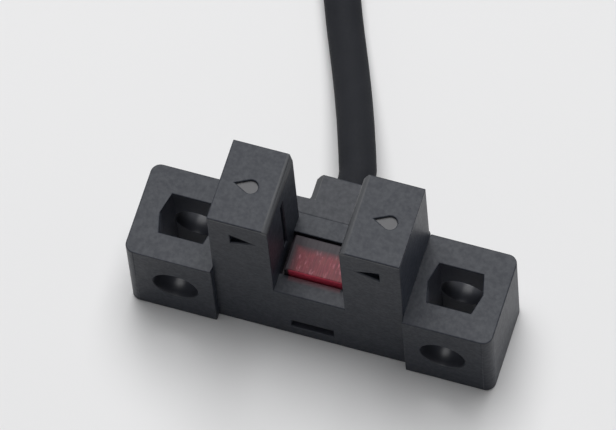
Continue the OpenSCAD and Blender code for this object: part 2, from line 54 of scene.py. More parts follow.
# Cable: its route from the jacket's end in the boss to the coil
CABLE_D = 2.6
CABLE_ROUNDNESS = 5
CURVE_STEPS = 3
CABLE_ROUTE = [
    (0, 2.7, 3.7), (0, 4.9, 3.7), (0, 5.4, 3.7), (-0.05, 6.6, 3.6), (-0.42, 7.8, 3.5),
    (-0.92, 9.2, 3.3), (-1.43, 10.6, 3), (-1.97, 12, 2.6), (-2.61, 13.6, 2.2), (-3.28, 15.2, 1.8),
    (-3.97, 16.8, 1.5), (-4.66, 18.4, 1.3), (-5.32, 20, 1.3), (-6.04, 21.8, 1.3), (-6.75, 23.6, 1.3),
    (-7.54, 25.6, 1.3), (-8.33, 27.6, 1.3), (-9.18, 29.8, 1.3), (-10.02, 32.2, 1.3),
    (-10.75, 34.8, 1.3), (-11.28, 37.6, 1.3), (-11.5, 40.6, 1.3), (-11.5, 44, 1.3), (-11.5, 49, 1.3),
]

# Coil: clockwise from its leftmost point, four turns wide and three layers high
COIL_MID_R = 15.0
COIL_HALF_SPAN = 1.5 * CABLE_D
COIL_H = 3 * CABLE_D
COIL_CENTRE = (-11.5 + COIL_MID_R + COIL_HALF_SPAN, 54.0)
COIL_START = 180.0
COIL_POINTS_PER_TURN = 40
LAYER_TURNS = 3.0
CLIMB_TURNS = 0.4
TAIL_CLIMB_TURNS = 0.3
TAIL_TURNS = 1 / 3

# Tie round the coil: its place in degrees, how it squeezes the turns, and its strap
TIE_ANGLE = 270.0
TIE_REACH = 32.0
TIE_SQUEEZE_R = 0.14
TIE_SQUEEZE_Z = 0.22
TIE_WIDTH = 2.5
TIE_THICKNESS = 0.6
TIE_CORNER_R = 1.9
TIE_CORNER_STEPS = 8
TIE_BORDER = 0.25
TIE_BORDER_SLOPE = 0.1
TIE_RIDGE_PITCH = 0.7
TIE_RIDGE_DEPTH = 0.12
TIE_RIDGE_POINTS = 4
# The tie's head, its cap and the strap's cut end: two corners, across the bundle, along the cable
# and up from the coil's top, and how far the edges are cut off
TIE_BLOCKS = [
    ((-2.0, -1.5, -0.25), (2.0, 1.5, 1.45), 0.3),
    ((-1.5, -1.1, 1.1), (0.7, 1.1, 1.8), 0.15),
    ((1.1, -1.15, 0.3), (1.65, 1.15, 1.75), 0.08),
]
BLOCK_LOOPS = ((0, 1, 3, 2), (4, 6, 7, 5), (0, 4, 5, 1), (2, 3, 7, 6), (0, 2, 6, 4), (1, 5, 7, 3))

# Bared cores at the far end: place across and up in the cable, and colour
CORE_D = 0.6
CORE_ROUNDNESS = 4
CORE_OFFSET = 0.45
CORE_PLACES = {"brown": (-1, -1), "black": (-1, 1), "pink": (1, 1), "blue": (1, -1)}
CORE_COLOURS = {
    "brown": (0.13, 0.05, 0.02, 1),
    "black": (0.015, 0.015, 0.016, 1),
    "pink": (0.72, 0.30, 0.38, 1),
    "blue": (0.02, 0.07, 0.30, 1),
}
CORE_PALER = 1.35
CORE_ROUGH = (0.3, 0.42)
CORE_SHEEN = 0.45
CORE_CLOUD_SIZE = 0.5
CORE_STEPS = 12
STRIP_LENGTH = 12.0
FAN_PITCH = 1.5

# Tinned strands on the cores: one in the middle and the rest twisted round it
TIP_LENGTH = 2.5
TIP_AIM = 0.97
STRAND_D = 0.13
STRAND_TWIST = 0.6
STRAND_STEPS = 10
STRAND_SIDES = 6
OUTER_STRANDS = 6

# Edges of the mouldings: outward ones are rounded, but not at the tips of the fillets by the cable boss
EDGE_RADII = {"housing": 0.07, "base": 0.10, "indicator_lens": 0.1}
EDGE_SEGMENTS = 2
EDGE_ANGLE = math.radians(50)
CREASE_ANGLE = math.radians(25)
FLAT_ANGLE = math.radians(1)
WELD_REACH = 0.002
NORMAL_WEIGHT = 100
FILLET_TIP = (2.4, 3.1, 5.9)
FILLET_REACH = 0.45

# Moulded black plastic: a fine grain over a broader mottle. Colours are dark, then light
CASE_COLOURS = ((0.006, 0.008, 0.014, 1), (0.016, 0.019, 0.026, 1))
BASE_COLOURS = ((0.008, 0.010, 0.015, 1), (0.018, 0.020, 0.027, 1))
CASE_SHEEN = 0.19
MOTTLE_SIZE = 0.6
FINE_SIZE = 0.26
FINE_SHARE = 0.6
GRAIN_RANGE = (0.38, 0.62)
GRAIN_ROUGH = (0.45, 0.39)
GRAIN_DEPTH = 0.012
MEAN_GRAIN = 0.5

# Places on the mouldings whose finish differs: sunk marks with painted sheen, bores with painted fill light,
# the slot's top edges with a painted highlight, and the floor in front of the lens with a painted red glow
MARK_SHEEN_COLOUR = (0.085, 0.085, 0.09, 1)
MARK_FLOOR_Z = 15.2
MARK_REACH = 0.03
BORE_FILL_LIGHT_COLOUR = (0.032, 0.034, 0.042, 1)
BORE_ROUGH = 0.3
BORE_X = 9.5
BORE_Z = 3.85
BORE_REACH = 1.62
EDGE_HIGHLIGHT_COLOUR = (0.055, 0.057, 0.062, 1)
SLOT_EDGE_X = (2.84, 2.95)
SLOT_EDGE_Z = (14.95, 15.08)
LENS_GLOW_COLOUR = (0.115, 0.037, 0.050, 1)
SPILL_MIDDLE = (0, -3.2, 6.3)
SPILL_REACH = (1.85, 0.4, 0.15)
SPILL_Y = (-3.45, -3.0)
# Tinted boxes, on both sides: middle, reach each way, and colour. The case's boxes paint fill light into the
# shaded pockets and latch window
HOLLOW_FILL_LIGHT_COLOUR = (0.072, 0.077, 0.096, 1)
CASE_TINTS = [
    ((9.5, -1.45, 3.6), (2.0, 1.53, 4.0), HOLLOW_FILL_LIGHT_COLOUR),
    ((0, -3.95, 1.6), (1.62, 0.43, 0.55), HOLLOW_FILL_LIGHT_COLOUR),
]
# Painted highlight along two edges of the base, in the same pale colour as the slot's edges
BASE_TINTS = [((2.0, 3.9, 6.1), (0.23, 1.02, 0.23), EDGE_HIGHLIGHT_COLOUR)]

# Lens: fine lines along it, clouds and specks, painted shade at its back and left edge, and a painted lit red
# front whose left corner has a painted shadow
LENS_SHEEN = 0.16
LENS_ROUGH = (0.38, 0.5)
LENS_DEPTH = 0.008
LINE_SIZE = 0.09
LINE_STRETCH = (1, 0.08, 1)
LINE_RANGE = (0.35, 0.7)
LINE_COLOURS = ((0.092, 0.013, 0.022, 1), (0.193, 0.041, 0.055, 1))
CLOUD_SIZE = 0.5
CLOUD_RANGE = (0.4, 0.7)
CLOUD_SHARE = 0.35
CLOUD_COLOUR = (0.17, 0.045, 0.04, 1)
SPECK_SIZE = 0.2
SPECK_STRETCH = (1, 0.4, 1)
SPECK_RANGE = (0.58, 0.72)
SPECK_SHARE = 0.7
SPECK_COLOUR = (0.36, 0.13, 0.16, 1)
LENS_BACK_Y = (-1.45, -0.9)
LENS_LEFT_X = (-2.0, -1.4)
LENS_SHADE_COLOUR = (0.021, 0.016, 0.021, 1)
LENS_FACING = (-0.9, -0.5)
LENS_CORNER_X = (-1.95, -1.8)
LENS_LIT_FRONT_COLOUR = (0.54, 0.045, 0.085, 1)
LENS_CORNER_SHADOW_COLOUR = (0.014, 0.012, 0.014, 1)

# Other finishes. Noise is spread over SOFT_RANGE before it drives roughness
SOFT_RANGE = (0.3, 0.7)
JACKET_COLOURS = ((0.016, 0.017, 0.020, 1), (0.022, 0.023, 0.027, 1))
JACKET_SHEEN = 0.06
JACKET_CLOUD_SIZE = 1.6
JACKET_GRAIN_SIZE = 0.14
JACKET_ROUGH = (0.6, 0.75)
JACKET_DEPTH = 0.008
TIE_COLOURS = ((0.02, 0.02, 0.021, 1), (0.032, 0.032, 0.034, 1))
TIE_ROUGH = (0.5, 0.62)
TIE_SHEEN = 0.25
TIE_CLOUD_SIZE = 0.6
TINNED_COLOURS = ((0.62, 0.62, 0.64, 1), (0.78, 0.78, 0.80, 1))
CLAMP_COLOURS = ((0.42, 0.42, 0.43, 1), (0.55, 0.55, 0.56, 1))
METAL_ROUGH = (0.22, 0.4)
METAL_CLOUD_SIZE = 0.25
METAL_GRAIN_SIZE = 0.06
METAL_DEPTH = 0.003
PLASTIC_CLOUD_SIZE = 0.4
PLASTIC_DEPTH = 0.004
PLASTIC_GRAIN = 1 / 5
# Plastics inside: the node, then its finish's name, dark and light colour, roughness and sheen
INNER_PLASTICS = {
    "emitter_window": ("filter_violet", (0.012, 0.008, 0.014, 1), (0.02, 0.012, 0.024, 1), (0.15, 0.25), 0.4),
    "emitter": ("emitter_blue", (0.10, 0.13, 0.22, 1), (0.14, 0.18, 0.28, 1), (0.1, 0.2), 0.5),
    "receiver": ("receiver_black", (0.012, 0.012, 0.014, 1), (0.02, 0.02, 0.022, 1), (0.12, 0.22), 0.4),
    "circuit_board": ("board_green", (0.02, 0.12, 0.045, 1), (0.03, 0.16, 0.06, 1), (0.3, 0.45), 0.4),
    "indicator_led": ("led_white", (0.70, 0.64, 0.52, 1), (0.80, 0.74, 0.62, 1), (0.25, 0.4), 0.4),
    "amplifier_chip": ("chip_black", (0.014, 0.014, 0.015, 1), (0.022, 0.022, 0.024, 1), (0.4, 0.6), 0.4),
    "chip_resistors": ("resistor_black", (0.02, 0.02, 0.024, 1), (0.03, 0.03, 0.035, 1), (0.35, 0.5), 0.4),
    "chip_capacitors": ("capacitor_tan", (0.36, 0.26, 0.16, 1), (0.44, 0.33, 0.21, 1), (0.35, 0.5), 0.4),
}

# Studio: a broad soft light above and behind, and a pale floor. Its lengths are in metres
KEY_DIRECTION = Vector((-0.08, 0.34, 0.94))
KEY_DISTANCE = 0.7
KEY_SIZE = (0.52, 0.78)
KEY_RADIANCE = 5.8
AMBIENT = 0.085
BACKDROP = 1.5
BACKDROP_COLOUR = (0.98, 0.99, 1.0, 1)
FLOOR_SIZE = 6.0
FLOOR_COLOUR = (0.80, 0.80, 0.805, 1)
FLOOR_PALER = 1.02
FLOOR_CLOUD_SIZE = 50.0
FLOOR_SHEEN = 0.1
FLOOR_ROUGH = 0.8


def link(piece):
    """Puts a new object in the scene."""
    bpy.context.scene.collection.objects.link(piece)
    return piece


def ease(t):
    """0 to 1 with a slow start and end."""
    return t * t * (3 - 2 * t)


def metres(*lengths):
    """Lengths in millimetres, turned to metres."""
    return tuple(length * MM for length in lengths)


def make_camera():
    """The camera at the photograph's viewing angle."""
    sin_a, cos_a = math.sin(CAMERA_AZIMUTH), math.cos(CAMERA_AZIMUTH)
    sin_e, cos_e = math.sin(CAMERA_ELEVATION), math.cos(CAMERA_ELEVATION)
    back = Vector((sin_a * cos_e, -cos_a * cos_e, sin_e))
    level_right = Vector((cos_a, sin_a, 0))
    level_up = back.cross(level_right)
    right = math.cos(CAMERA_ROLL) * level_right - math.sin(CAMERA_ROLL) * level_up
    data = bpy.data.cameras.new("camera")
    data.lens = CAMERA_LENS_MM
    data.sensor_width = CAMERA_SENSOR_MM
    data.sensor_fit = "HORIZONTAL"
    data.clip_start = CAMERA_CLIP
    camera = link(bpy.data.objects.new("camera", data))
    matrix = Matrix((right, back.cross(right), back)).transposed().to_4x4()
    matrix.translation = CAMERA_TARGET + back * CAMERA_DISTANCE
    camera.matrix_world = matrix
    bpy.context.scene.camera = camera


def coil_stages():
    """(turns so far, radius, height) at the start of each stretch of the winding."""
    low, high = COIL_MID_R - COIL_HALF_SPAN, COIL_MID_R + COIL_HALF_SPAN
    stages = [(0.0, high, CABLE_D / 2)]

    def go(turns, radius, rise):
        stages.append((stages[-1][0] + turns, radius, stages[-1][2] + rise))

    go(LAYER_TURNS, low, 0)
    go(CLIMB_TURNS, low, CABLE_D)
    go(LAYER_TURNS, high, 0)
    go(CLIMB_TURNS, high, CABLE_D)
    go(LAYER_TURNS, low, 0)
    go(TAIL_CLIMB_TURNS, COIL_MID_R, CABLE_D)
    go(TAIL_TURNS, COIL_MID_R, 0)
    return stages


def coil_section(turns, stages):
    """Radius and height of the cable's middle after so many turns."""
    for (t0, r0, z0), (t1, r1, z1) in zip(stages, stages[1:]):
        if turns <= t1:
            share = (turns - t0) / (t1 - t0)
            return r0 + (r1 - r0) * share, z0 + (z1 - z0) * ease(share)
    return stages[-1][1:]


def tie_weight(angle):
    """1 under the tie, 0 well away from it."""
    apart = abs((angle - TIE_ANGLE + 180) % 360 - 180)
    return 0.5 + 0.5 * math.cos(math.pi * min(apart / TIE_REACH, 1))


def polar(radius, angle, z):
    """A point round the coil's axis, in metres."""
    a = math.radians(angle)
    return Vector((COIL_CENTRE[0] + radius * math.cos(a), COIL_CENTRE[1] + radius * math.sin(a), z)) * MM


def coil_points():
    """The cable's middle round the coil, squeezed under the tie."""
    stages = coil_stages()
    count = round(stages[-1][0] * COIL_POINTS_PER_TURN)
    points = []
    for i in range(count + 1):
        turns = stages[-1][0] * i / count
        radius, z = coil_section(turns, stages)
        angle = COIL_START - 360 * turns
        pull = tie_weight(angle) if z < COIL_H else 0
        radius = COIL_MID_R + (radius - COIL_MID_R) * (1 - TIE_SQUEEZE_R * pull)
        z = COIL_H / 2 + (z - COIL_H / 2) * (1 - TIE_SQUEEZE_Z * pull)
        points.append(polar(radius, angle, z))
    return points


def tube_curve(name, points, diameter, material, roundness):
    """A round cord along points. Points are in metres."""
    curve = bpy.data.curves.new(name, "CURVE")
    curve.dimensions = "3D"
    curve.bevel_depth = diameter * MM / 2
    curve.bevel_resolution = roundness
    curve.resolution_u = CURVE_STEPS
    curve.use_fill_caps = True
    curve.materials.append(material)
    spline = curve.splines.new("BEZIER")
    spline.bezier_points.add(len(points) - 1)
    for knot, point in zip(spline.bezier_points, points):
        knot.co = point
        knot.handle_left_type = knot.handle_right_type = "AUTO"
    return link(bpy.data.objects.new(name, curve))


def make_cable(material):
    """The cable from the boss to its stripped end, in place of its two solids."""
    points = [Vector(p) * MM for p in CABLE_ROUTE] + coil_points()
    cable = tube_curve("cable_lead", points, CABLE_D, material, CABLE_ROUNDNESS)
    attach(cable, "root")
    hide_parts("cable", "cable_coil")
    return cable


def add(tree, kind, inputs=None, family="ShaderNode", **settings):
    """A new node. An input that is a socket is linked, and any other is set."""
    made = tree.nodes.new(family + kind)
    for name, value in settings.items():
        setattr(made, name, value)
    for name, value in (inputs or {}).items():
        if isinstance(value, bpy.types.NodeSocket):
            tree.links.new(value, made.inputs[name])
        else:
            made.inputs[name].default_value = value
    return made


def calc(tree, operation, *values):
    """The result of a sum with single values."""
    return add(tree, "Math", dict(enumerate(values)), operation=operation).outputs[0]


def vector_calc(tree, operation, *values):
    """The result of a sum with vectors. A distance is a single value."""
    made = add(tree, "VectorMath", dict(enumerate(values)), operation=operation)
    return made.outputs["Value" if operation == "DISTANCE" else "Vector"]


def blend_colours(tree, factor, first, second):
    """A colour that goes from first to second as factor goes from 0 to 1."""
    return add(tree, "Mix", {0: factor, 6: first, 7: second}, data_type="RGBA").outputs[2]


def blend_values(tree, factor, first, second):
    """A value that goes from first to second as factor goes from 0 to 1."""
    return add(tree, "Mix", {0: factor, 2: first, 3: second}).outputs[0]


def spread(tree, value, low, high, start=0.0, end=1.0):
    """value, stretched from start..end to low..high and kept between them."""
    return add(tree, "MapRange", {"Value": value, "From Min": start, "From Max": end,
                                  "To Min": low, "To Max": high}).outputs["Result"]


def new_material(name, **sockets):
    """A material, its tree, its shader and the place on the part in metres."""
    made = bpy.data.materials.new(name)
    made.use_nodes = True
    tree = made.node_tree
    shader = tree.nodes["Principled BSDF"]
    for socket, value in sockets.items():
        shader.inputs[socket.replace("_", " ")].default_value = value
    return made, tree, shader, add(tree, "TexCoord").outputs["Object"]


def noise(tree, place, size, detail=2.0, stretch=None):
    """Soft noise with grains of about size. stretch makes them longer along an axis."""
    if stretch:
        place = add(tree, "Mapping", {"Vector": place, "Scale": stretch}).outputs[0]
    scale = 1 / (size * MM)
    return add(tree, "TexNoise", {"Vector": place, "Scale": scale, "Detail": detail}).outputs["Fac"]


def bump(tree, shader, height, depth):
    """Fine relief, depth high."""
    made = add(tree, "Bump", {"Height": height, "Distance": depth * MM, "Strength": 1.0})
    tree.links.new(made.outputs[0], shader.inputs["Normal"])


def paint(tree, shader, colour, roughness=None):
    """Links a colour, and a roughness if there is one, to the shader."""
    tree.links.new(colour, shader.inputs["Base Color"])
    if roughness is not None:
        tree.links.new(roughness, shader.inputs["Roughness"])


def shade(colour, factor):
    """A colour made paler or darker."""
    return tuple(min(1.0, c * factor) for c in colour[:3]) + (1,)


def folded_axes(tree, place):
    """X, Y and Z of a place, with the left half of the part folded onto the right half."""
    axes = add(tree, "SeparateXYZ", {0: place}).outputs
    return calc(tree, "ABSOLUTE", axes["X"]), axes["Y"], axes["Z"]


def in_box(tree, place, middle, reach):
    """1 in a box and in its mirror image across X, 0 elsewhere."""
    folded = add(tree, "CombineXYZ", dict(enumerate(folded_axes(tree, place)))).outputs[0]
    apart = vector_calc(tree, "SUBTRACT", folded, metres(*middle))
    share = vector_calc(tree, "DIVIDE", vector_calc(tree, "ABSOLUTE", apart), metres(*reach))
    axes = add(tree, "SeparateXYZ", {0: share}).outputs
    most = calc(tree, "MAXIMUM", calc(tree, "MAXIMUM", axes["X"], axes["Y"]), axes["Z"])
    return calc(tree, "LESS_THAN", most, 1.0)


def in_bore(tree, place):
    """1 on the polished walls of the mounting holes, 0 elsewhere."""
    across, _, up = folded_axes(tree, place)
    flat = add(tree, "CombineXYZ", {"X": across, "Z": up}).outputs[0]
    apart = vector_calc(tree, "DISTANCE", flat, metres(BORE_X, 0, BORE_Z))
    return calc(tree, "LESS_THAN", apart, BORE_REACH * MM)


def on_mark_floor(tree, place):
    """1 on the floors of the marks in the tops of the arms, 0 elsewhere."""
    up = add(tree, "SeparateXYZ", {0: place}).outputs["Z"]
    return calc(tree, "COMPARE", up, MARK_FLOOR_Z * MM, MARK_REACH * MM)


def on_slot_edge(tree, place):
    """1 on the rounded top edges of the slot, where a painted highlight is laid, 0 elsewhere."""
    across, _, up = folded_axes(tree, place)
    near = spread(tree, across, 1, 0, *metres(*SLOT_EDGE_X))
    above = spread(tree, up, 0, 1, *metres(*SLOT_EDGE_Z))
    return calc(tree, "MULTIPLY", near, above)


def painted_lens_glow(tree, place):
    """1 on the slot's floor against the front of the lens, where a red glow from the lens is painted over the
    floor's shade, fading to 0 ahead of it.
    """
    along = add(tree, "SeparateXYZ", {0: place}).outputs["Y"]
    near = spread(tree, along, 0, 1, *metres(*SPILL_Y))
    return calc(tree, "MULTIPLY", near, in_box(tree, place, SPILL_MIDDLE, SPILL_REACH))


def moulded_black(name, colours, tints, case=False):
    """Black moulded plastic with a fine spark-eroded grain. tints are boxes of painted fill light or painted
    highlight, where its colour differs.
    """
    made, tree, shader, place = new_material(name, Specular_IOR_Level=CASE_SHEEN)
    mottle = noise(tree, place, MOTTLE_SIZE, 3)
    fine = noise(tree, place, FINE_SIZE, 4)
    grain = blend_values(tree, FINE_SHARE, mottle, fine)
    colour = blend_colours(tree, spread(tree, grain, 0, 1, *GRAIN_RANGE), *colours)
    rough = spread(tree, grain, *GRAIN_ROUGH, *GRAIN_RANGE)
    if case:
        bore = in_bore(tree, place)
        rough = blend_values(tree, bore, rough, BORE_ROUGH)
        fine = blend_values(tree, bore, fine, MEAN_GRAIN)
        # Painted sheen: the floors of the sunk marks are made paler in place of their brighter reflection
        colour = blend_colours(tree, on_mark_floor(tree, place), colour, MARK_SHEEN_COLOUR)
        # Painted fill light: the bores' walls are made paler than the case to lift their shade
        colour = blend_colours(tree, bore, colour, BORE_FILL_LIGHT_COLOUR)
        # Painted highlight: the slot's top edges are made paler where they would catch the light
        colour = blend_colours(tree, on_slot_edge(tree, place), colour, EDGE_HIGHLIGHT_COLOUR)
        # Painted red glow from the lens, laid over the floor's shade in front of it
        colour = blend_colours(tree, painted_lens_glow(tree, place), colour, LENS_GLOW_COLOUR)
    # The tints paint fill light into the case's pockets and latch window, and a highlight along the base's
    # edges
    for middle, reach, tint in tints:
        colour = blend_colours(tree, in_box(tree, place, middle, reach), colour, tint)
    paint(tree, shader, colour, rough)
    bump(tree, shader, fine, GRAIN_DEPTH)
    return made


def lens_red():
    """Frosted red plastic with fine lines along it, painted shade at its back and left edges, and a painted
    lit front.
    """
    made, tree, shader, place = new_material("lens_red", Specular_IOR_Level=LENS_SHEEN)
    axes = add(tree, "SeparateXYZ", {0: place}).outputs
    lines = noise(tree, place, LINE_SIZE, 3, LINE_STRETCH)
    cloud = noise(tree, place, CLOUD_SIZE, 2)
    specks = noise(tree, place, SPECK_SIZE, 3, SPECK_STRETCH)
    red = blend_colours(tree, spread(tree, lines, 0, 1, *LINE_RANGE), *LINE_COLOURS)
    red = blend_colours(tree, spread(tree, cloud, 0, CLOUD_SHARE, *CLOUD_RANGE), red, CLOUD_COLOUR)
    red = blend_colours(tree, spread(tree, specks, 0, SPECK_SHARE, *SPECK_RANGE), red, SPECK_COLOUR)
    # Painted shade: the lens darkens towards its back and left edges, where the rear wall and left arm shade
    # it
    back = spread(tree, axes["Y"], 0, 1, *metres(*LENS_BACK_Y))
    left = spread(tree, axes["X"], 1, 0, *metres(*LENS_LEFT_X))
    red = blend_colours(tree, calc(tree, "MAXIMUM", back, left), red, LENS_SHADE_COLOUR)
    # Painted light and shade: faces looking forward get a brighter red, with a painted shadow at the left
    # corner
    normal = add(tree, "NewGeometry").outputs["True Normal"]
    facing = add(tree, "SeparateXYZ", {0: normal}).outputs["Y"]
    front = spread(tree, facing, 1, 0, *LENS_FACING)
    corner = spread(tree, axes["X"], 1, 0, *metres(*LENS_CORNER_X))
    band = blend_colours(tree, corner, LENS_LIT_FRONT_COLOUR, LENS_CORNER_SHADOW_COLOUR)
    red = blend_colours(tree, front, red, band)
    paint(tree, shader, red, spread(tree, lines, *LENS_ROUGH, *SOFT_RANGE))
    bump(tree, shader, lines, LENS_DEPTH)
    return made


def plain_plastic(name, dark, light, rough, sheen, size=PLASTIC_CLOUD_SIZE):
    """A smooth plastic or resin with a slight cloud in its colour and sheen."""
    made, tree, shader, place = new_material(name, Specular_IOR_Level=sheen)
    cloud = noise(tree, place, size, 3)
    paint(tree, shader, blend_colours(tree, cloud, dark, light), spread(tree, cloud, *rough, *SOFT_RANGE))
    bump(tree, shader, noise(tree, place, size * PLASTIC_GRAIN, 2), PLASTIC_DEPTH)
    return made


def metal(name, colours):
    """Tinned or plated metal, a little uneven."""
    made, tree, shader, place = new_material(name, Metallic=1.0)
    cloud = noise(tree, place, METAL_CLOUD_SIZE, 3)
    paint(tree, shader, blend_colours(tree, cloud, *colours), spread(tree, cloud, *METAL_ROUGH, *SOFT_RANGE))
    bump(tree, shader, noise(tree, place, METAL_GRAIN_SIZE, 2), METAL_DEPTH)
    return made


def jacket_black():
    """Extruded cable jacket: matt, with a faint cloud and a fine dry grain."""
    made, tree, shader, place = new_material("jacket_black", Specular_IOR_Level=JACKET_SHEEN)
    cloud = noise(tree, place, JACKET_CLOUD_SIZE, 3)
    grain = noise(tree, place, JACKET_GRAIN_SIZE, 3)
    rough = spread(tree, grain, *JACKET_ROUGH, *SOFT_RANGE)
    paint(tree, shader, blend_colours(tree, cloud, *JACKET_COLOURS), rough)
    bump(tree, shader, grain, JACKET_DEPTH)
    return made


def floor_paper():
    """Pale matt paper with a faint cloud."""
    made, tree, shader, place = new_material("floor_paper", Specular_IOR_Level=FLOOR_SHEEN,
                                             Roughness=FLOOR_ROUGH)
    cloud = noise(tree, place, FLOOR_CLOUD_SIZE, 2)
    paint(tree, shader, blend_colours(tree, cloud, FLOOR_COLOUR, shade(FLOOR_COLOUR, FLOOR_PALER)))
    return made


def core_plastic(name):
    """The insulation of one core."""
    colour = CORE_COLOURS[name]
    return plain_plastic("core_" + name, colour, shade(colour, CORE_PALER), CORE_ROUGH, CORE_SHEEN,
                         CORE_CLOUD_SIZE)


def node_materials():
    """The finish of every CAD node."""
    made = {node: plain_plastic(*finish) for node, finish in INNER_PLASTICS.items()}
    made["housing"] = moulded_black("case_black", CASE_COLOURS, CASE_TINTS, case=True)
    made["base"] = moulded_black("base_black", BASE_COLOURS, BASE_TINTS)
    made["indicator_lens"] = lens_red()
    made["cable_clamp"] = metal("clamp_metal", CLAMP_COLOURS)
    made["receiver_window"] = made["emitter_window"]
    made["output_transistor"] = made["amplifier_chip"]
    made["cable"] = made["cable_coil"] = JACKET_BLACK
    made["coil_tie"] = TIE_NYLON
    for node in ("emitter_leads", "receiver_leads", "lead_solder", "core_solder", "end_tips"):
        made[node] = TINNED
    for name, material in CORE_MATERIALS.items():
        made["core_" + name] = made["end_" + name] = material
    return made


def dress(node, material):
    """Gives a CAD node its material."""
    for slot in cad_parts[node].material_slots:
        slot.link = "OBJECT"
        slot.material = material


def mark_edges():
    """A node group that marks the edges for the bevel after it, and keeps other creases crisp."""
    tree = bpy.data.node_groups.new("mark_edges", "GeometryNodeTree")
    for way in ("INPUT", "OUTPUT"):
        tree.interface.new_socket("Geometry", in_out=way, socket_type="NodeSocketGeometry")
    angle = add(tree, "InputMeshEdgeAngle", family="GeometryNode").outputs
    outward = calc(tree, "GREATER_THAN", angle["Signed Angle"], EDGE_ANGLE)
    creased = calc(tree, "GREATER_THAN", angle["Unsigned Angle"], CREASE_ANGLE)
    place = add(tree, "InputPosition", family="GeometryNode").outputs[0]
    folded = vector_calc(tree, "ABSOLUTE", place)
    apart = vector_calc(tree, "DISTANCE", folded, metres(*FILLET_TIP))
    clear = calc(tree, "GREATER_THAN", apart, FILLET_REACH * MM)
    weight = calc(tree, "MULTIPLY", outward, clear)
    crisp = calc(tree, "SUBTRACT", creased, weight)
    shape = add(tree, "GroupInput", family="Node").outputs[0]
    shape = add(tree, "SetShadeSmooth", {0: shape, "Selection": crisp, "Shade Smooth": False},
                family="GeometryNode", domain="EDGE").outputs[0]
    shape = add(tree, "StoreNamedAttribute", {0: shape, "Name": "bevel_weight_edge", "Value": weight},
                family="GeometryNode", data_type="FLOAT", domain="EDGE").outputs[0]
    add(tree, "GroupOutput", {0: shape}, family="Node")
    return tree


def soften(node, radius, edge_marks):
    """Rounds a CAD node's outward edges and keeps its flat faces flat."""
    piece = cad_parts[node]
    weld = piece.modifiers.new("weld", "WELD")
    weld.merge_threshold = WELD_REACH * MM
    flat = piece.modifiers.new("flat_faces", "DECIMATE")
    flat.decimate_type = "DISSOLVE"
    flat.angle_limit = FLAT_ANGLE
    piece.modifiers.new("marked_edges", "NODES").node_group = edge_marks
    bevel = piece.modifiers.new("edges", "BEVEL")
    bevel.width = radius * MM
    bevel.segments = EDGE_SEGMENTS
    bevel.limit_method = "WEIGHT"
    bevel.use_clamp_overlap = False
    normals = piece.modifiers.new("normals", "WEIGHTED_NORMAL")
    normals.weight = NORMAL_WEIGHT
    normals.keep_sharp = True


def mesh_piece(name, build, material):
    """A piece whose mesh a function draws, riding on the part."""
    mesh = bpy.data.meshes.new(name)
    bm = bmesh.new()
    build(bm)
    bmesh.ops.recalc_face_normals(bm, faces=bm.faces)
    bm.to_mesh(mesh)
    bm.free()
    mesh.materials.append(material)
    piece = link(bpy.data.objects.new(name, mesh))
    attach(piece, "root")
    return piece


def strap_outline(grow):
    """The tie's loop in section round the bundle, with round corners, as (across, up)."""
    r = TIE_CORNER_R + grow
    side = COIL_HALF_SPAN + CABLE_D / 2 + grow - r
    low, high = r - grow, COIL_H + grow - r
    outline = []
    for x, z, start in ((side, high, 0), (-side, high, 90), (-side, low, 180), (side, low, 270)):
        for i in range(TIE_CORNER_STEPS + 1):
            a = math.radians(start + 90 * i / TIE_CORNER_STEPS)
            outline.append((x + r * math.cos(a), z + r * math.sin(a)))
    return outline


def tie_place(across, along, up):
    """A point by the tie: across the bundle, along the cable, and up, in metres."""
    a = math.radians(TIE_ANGLE)
    radius = COIL_MID_R + across
    x = COIL_CENTRE[0] + radius * math.cos(a) - along * math.sin(a)
    y = COIL_CENTRE[1] + radius * math.sin(a) + along * math.cos(a)
    return Vector((x, y, up)) * MM


def resample(outline, pitch):
    """Points at an even pitch round a closed outline."""
    closed = outline + outline[:1]
    lengths = [math.dist(a, b) for a, b in zip(closed, closed[1:])]
    count = round(sum(lengths) / pitch)
    points, index, walked = [], 0, 0.0
    for i in range(count):
        goal = sum(lengths) * i / count
        while walked + lengths[index] < goal:
            walked += lengths[index]
            index += 1
        share = (goal - walked) / lengths[index]
        (x0, z0), (x1, z1) = closed[index], closed[index + 1]
        points.append((x0 + (x1 - x0) * share, z0 + (z1 - z0) * share))
    return points


def draw_strap(bm):
    """The strap: a closed loop whose outside has ridges across it."""
    outline = resample(strap_outline(-TIE_THICKNESS / 2), TIE_RIDGE_PITCH / TIE_RIDGE_POINTS)
    half, thick = TIE_WIDTH / 2, TIE_THICKNESS / 2
    rim = half - TIE_BORDER
    foot = rim - TIE_BORDER_SLOPE
    rings = []
    for i, (x, z) in enumerate(outline):
        (x0, z0), (x1, z1) = outline[i - 1], outline[(i + 1) % len(outline)]
        out = Vector((z1 - z0, x0 - x1)).normalized()
        sunk = TIE_RIDGE_DEPTH if i % TIE_RIDGE_POINTS < TIE_RIDGE_POINTS / 2 else 0.0
        section = [(-half, -thick), (half, -thick), (half, thick), (rim, thick),
                   (foot, thick - sunk), (-foot, thick - sunk), (-rim, thick), (-half, thick)]
        rings.append([bm.verts.new(tie_place(x + out[0] * t, w, z + out[1] * t)) for w, t in section])
    for i, ring in enumerate(rings):
        after = rings[(i + 1) % len(rings)]
        for k in range(len(ring)):
            j = (k + 1) % len(ring)
            bm.faces.new((ring[k], ring[j], after[j], after[k]))


